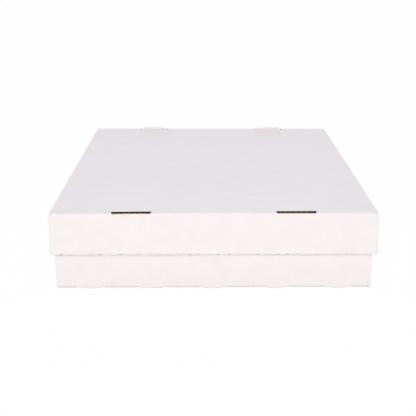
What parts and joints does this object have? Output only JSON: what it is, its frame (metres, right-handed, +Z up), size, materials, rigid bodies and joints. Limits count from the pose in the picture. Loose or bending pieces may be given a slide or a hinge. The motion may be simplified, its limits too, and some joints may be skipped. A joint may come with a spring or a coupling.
{
  "type": "trading card storage box",
  "caption": "Low white corrugated-board box for rows of trading cards: folded tray with rolled end walls, folded row dividers and a lift-off lid.",
  "frame": {"origin": "under the middle of the tray, on the surface that the box stands on", "axes": "+Z up, +Y from the front end wall to the rear one, +X to the right as seen from the front"},
  "size_m": [0.3998, 0.505, 0.105],
  "materials": {
    "white_board": "matt white liner outside, brown kraft inside",
    "divider_board": "matt white liner on both sides of the folded strip"
  },
  "bodies": {
    "tray": {"tray": "white_board", "row_divider_1": "divider_board", "row_divider_2": "divider_board", "row_divider_3": "divider_board", "row_divider_4": "divider_board"},
    "lid": {"lid": "white_board"}
  },
  "joints": [
    {"name": "lid_lift", "type": "slide", "parent": "tray", "child": "lid", "axis": [0, 0, 1], "range_m": [0, 0.15]}
  ]
}
